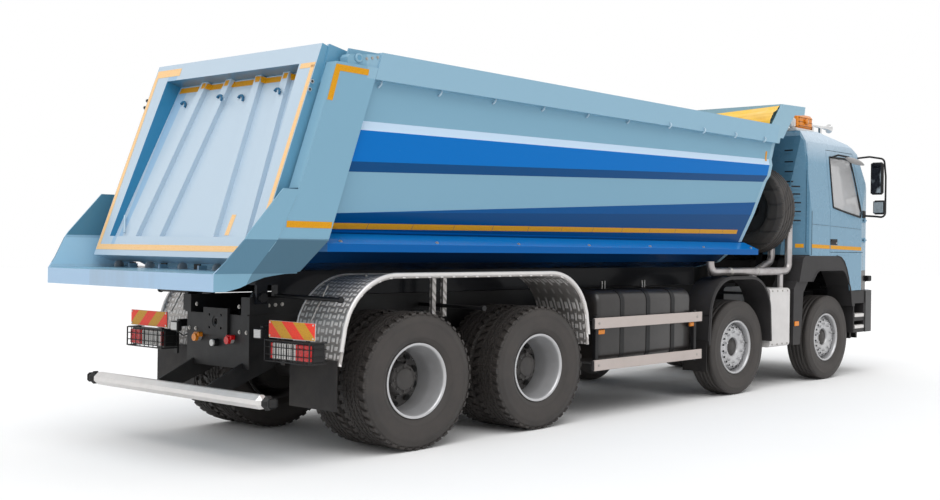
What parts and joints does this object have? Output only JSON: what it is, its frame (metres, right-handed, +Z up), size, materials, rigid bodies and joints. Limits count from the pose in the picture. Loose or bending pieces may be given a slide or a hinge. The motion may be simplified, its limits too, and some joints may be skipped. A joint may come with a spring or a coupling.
{
  "type": "dump truck",
  "caption": "Rigid multi-axle dump truck with a rounded steel tipping body, telescopic front hoist, leaning tailgate, steered front axles and driven twin-tyre bogie.",
  "frame": {"origin": "middle of the vehicle's bounding box, on the road", "axes": "+X forward, +Y to the vehicle's left, +Z up"},
  "size_m": [9.7, 3.09, 3.345],
  "materials": {
    "tyre": "matt",
    "rim": "satin silver",
    "black_steel": "satin",
    "rod": "polished",
    "body_paint": "gloss",
    "gate_paint": "gloss",
    "cab_paint": "gloss",
    "tarpaulin": "coated cloth",
    "bare_aluminium": "satin",
    "dark_plastic": "grained",
    "rubber": "matt",
    "marker_board": "reflective",
    "dark_tank": "satin",
    "white_steel": "satin",
    "cast_iron": "rough",
    "glass": "tinted",
    "lamp": "clear lens",
    "beacon": "amber lens",
    "chrome": "polished",
    "seat": "woven"
  },
  "bodies": {
    "chassis": {"spare_wheel": "tyre", "front_axles": "black_steel", "rear_axles": "black_steel", "springs": "black_steel", "frame": "black_steel", "subframe": "black_steel", "rear_fenders": "bare_aluminium", "front_fenders": "dark_plastic", "mud_flaps": "rubber", "underrun_bar": "bare_aluminium", "tail_lamps": "dark_plastic", "marker_boards": "marker_board", "side_guards": "bare_aluminium", "fuel_tank": "dark_tank", "battery_box": "dark_plastic", "exhaust": "white_steel", "powertrain": "cast_iron", "cab_shell": "cab_paint", "windscreen": "glass", "mirrors": "dark_plastic", "bumper": "cab_paint", "grille": "dark_plastic", "headlamps": "lamp", "beacon": "beacon", "air_horn": "chrome", "cab_trim": "dark_plastic", "cab_interior": "seat"},
    "tipper": {"tub": "body_paint", "headboard": "body_paint", "tarpaulin": "tarpaulin"},
    "tailgate": {"tailgate": "gate_paint"},
    "hoist_barrel": {"hoist_barrel": "black_steel"},
    "hoist_stage_1": {"hoist_stage_1": "rod"},
    "hoist_stage_2": {"hoist_stage_2": "rod"},
    "hoist_stage_3": {"hoist_stage_3": "rod"},
    "hoist_stage_4": {"hoist_stage_4": "rod"},
    "steer_1_right": {"knuckle_1_right": "black_steel"},
    "steer_1_left": {"knuckle_1_left": "black_steel"},
    "steer_2_right": {"knuckle_2_right": "black_steel"},
    "steer_2_left": {"knuckle_2_left": "black_steel"},
    "wheel_1_right": {"rim_1_right": "rim", "tyre_1_right": "tyre"},
    "wheel_1_left": {"rim_1_left": "rim", "tyre_1_left": "tyre"},
    "wheel_2_right": {"rim_2_right": "rim", "tyre_2_right": "tyre"},
    "wheel_2_left": {"rim_2_left": "rim", "tyre_2_left": "tyre"},
    "wheel_3_right": {"rim_3_right": "rim", "tyre_3_right": "tyre"},
    "wheel_3_left": {"rim_3_left": "rim", "tyre_3_left": "tyre"},
    "wheel_4_right": {"rim_4_right": "rim", "tyre_4_right": "tyre"},
    "wheel_4_left": {"rim_4_left": "rim", "tyre_4_left": "tyre"},
    "door_right": {"door_right": "cab_paint", "door_glass_right": "glass"},
    "door_left": {"door_left": "cab_paint", "door_glass_left": "glass"}
  },
  "joints": [
    {"name": "body_tip", "type": "hinge", "parent": "chassis", "child": "tipper", "pos_m": [-4.05, 0, 1.2], "axis": [0, -1, 0], "range_deg": [0, 50]},
    {"name": "tailgate_swing", "type": "hinge", "parent": "tipper", "child": "tailgate", "pos_m": [-3.775, 0, 3], "axis": [0, 1, 0], "range_deg": [0, 75]},
    {"name": "hoist_lean", "type": "hinge", "parent": "chassis", "child": "hoist_barrel", "pos_m": [2.33, 0, 1.01], "axis": [0, -1, 0], "range_deg": [0, 30]},
    {"name": "hoist_extend_1", "type": "slide", "parent": "hoist_barrel", "child": "hoist_stage_1", "axis": [0, 0, 1], "range_m": [0, 1.32]},
    {"name": "hoist_extend_2", "type": "slide", "parent": "hoist_stage_1", "child": "hoist_stage_2", "axis": [0, 0, 1], "range_m": [0, 1.32]},
    {"name": "hoist_extend_3", "type": "slide", "parent": "hoist_stage_2", "child": "hoist_stage_3", "axis": [0, 0, 1], "range_m": [0, 1.32]},
    {"name": "hoist_extend_4", "type": "slide", "parent": "hoist_stage_3", "child": "hoist_stage_4", "axis": [0, 0, 1], "range_m": [0, 1.32]},
    {"name": "steer_1_right", "type": "hinge", "parent": "chassis", "child": "steer_1_right", "pos_m": [3.45, -0.88, 0.525], "axis": [0, 0, 1], "range_deg": [-35, 35]},
    {"name": "steer_1_left", "type": "hinge", "parent": "chassis", "child": "steer_1_left", "pos_m": [3.45, 0.88, 0.525], "axis": [0, 0, 1], "range_deg": [-35, 35]},
    {"name": "steer_2_right", "type": "hinge", "parent": "chassis", "child": "steer_2_right", "pos_m": [1.415, -0.88, 0.525], "axis": [0, 0, 1], "range_deg": [-24, 24]},
    {"name": "steer_2_left", "type": "hinge", "parent": "chassis", "child": "steer_2_left", "pos_m": [1.415, 0.88, 0.525], "axis": [0, 0, 1], "range_deg": [-24, 24]},
    {"name": "wheel_1_right_spin", "type": "hinge", "parent": "steer_1_right", "child": "wheel_1_right", "pos_m": [3.45, -1.05, 0.525], "axis": [0, 1, 0], "continuous": true},
    {"name": "wheel_1_left_spin", "type": "hinge", "parent": "steer_1_left", "child": "wheel_1_left", "pos_m": [3.45, 1.05, 0.525], "axis": [0, 1, 0], "continuous": true},
    {"name": "wheel_2_right_spin", "type": "hinge", "parent": "steer_2_right", "child": "wheel_2_right", "pos_m": [1.415, -1.05, 0.525], "axis": [0, 1, 0], "continuous": true},
    {"name": "wheel_2_left_spin", "type": "hinge", "parent": "steer_2_left", "child": "wheel_2_left", "pos_m": [1.415, 1.05, 0.525], "axis": [0, 1, 0], "continuous": true},
    {"name": "wheel_3_right_spin", "type": "hinge", "parent": "chassis", "child": "wheel_3_right", "pos_m": [-1.78, -0.92, 0.545], "axis": [0, 1, 0], "continuous": true},
    {"name": "wheel_3_left_spin", "type": "hinge", "parent": "chassis", "child": "wheel_3_left", "pos_m": [-1.78, 0.92, 0.545], "axis": [0, 1, 0], "continuous": true},
    {"name": "wheel_4_right_spin", "type": "hinge", "parent": "chassis", "child": "wheel_4_right", "pos_m": [-3.15, -0.92, 0.545], "axis": [0, 1, 0], "continuous": true},
    {"name": "wheel_4_left_spin", "type": "hinge", "parent": "chassis", "child": "wheel_4_left", "pos_m": [-3.15, 0.92, 0.545], "axis": [0, 1, 0], "continuous": true},
    {"name": "door_right_open", "type": "hinge", "parent": "chassis", "child": "door_right", "pos_m": [4.312, -1.252, 2.2], "axis": [0, 0, 1], "range_deg": [0, 65]},
    {"name": "door_left_open", "type": "hinge", "parent": "chassis", "child": "door_left", "pos_m": [4.312, 1.252, 2.2], "axis": [0, 0, -1], "range_deg": [0, 65]}
  ],
  "couplings": [
    {"joint": "hoist_lean", "follows": "body_tip", "ratio": 0.5914},
    {"joint": "hoist_extend_1", "follows": "body_tip", "m_per_rad": 1.5058},
    {"joint": "hoist_extend_2", "follows": "body_tip", "m_per_rad": 1.5058},
    {"joint": "hoist_extend_3", "follows": "body_tip", "m_per_rad": 1.5058},
    {"joint": "hoist_extend_4", "follows": "body_tip", "m_per_rad": 1.5058},
    {"joint": "steer_1_left", "follows": "steer_1_right", "ratio": 1},
    {"joint": "steer_2_right", "follows": "steer_1_right", "ratio": 0.68},
    {"joint": "steer_2_left", "follows": "steer_1_right", "ratio": 0.68}
  ]
}
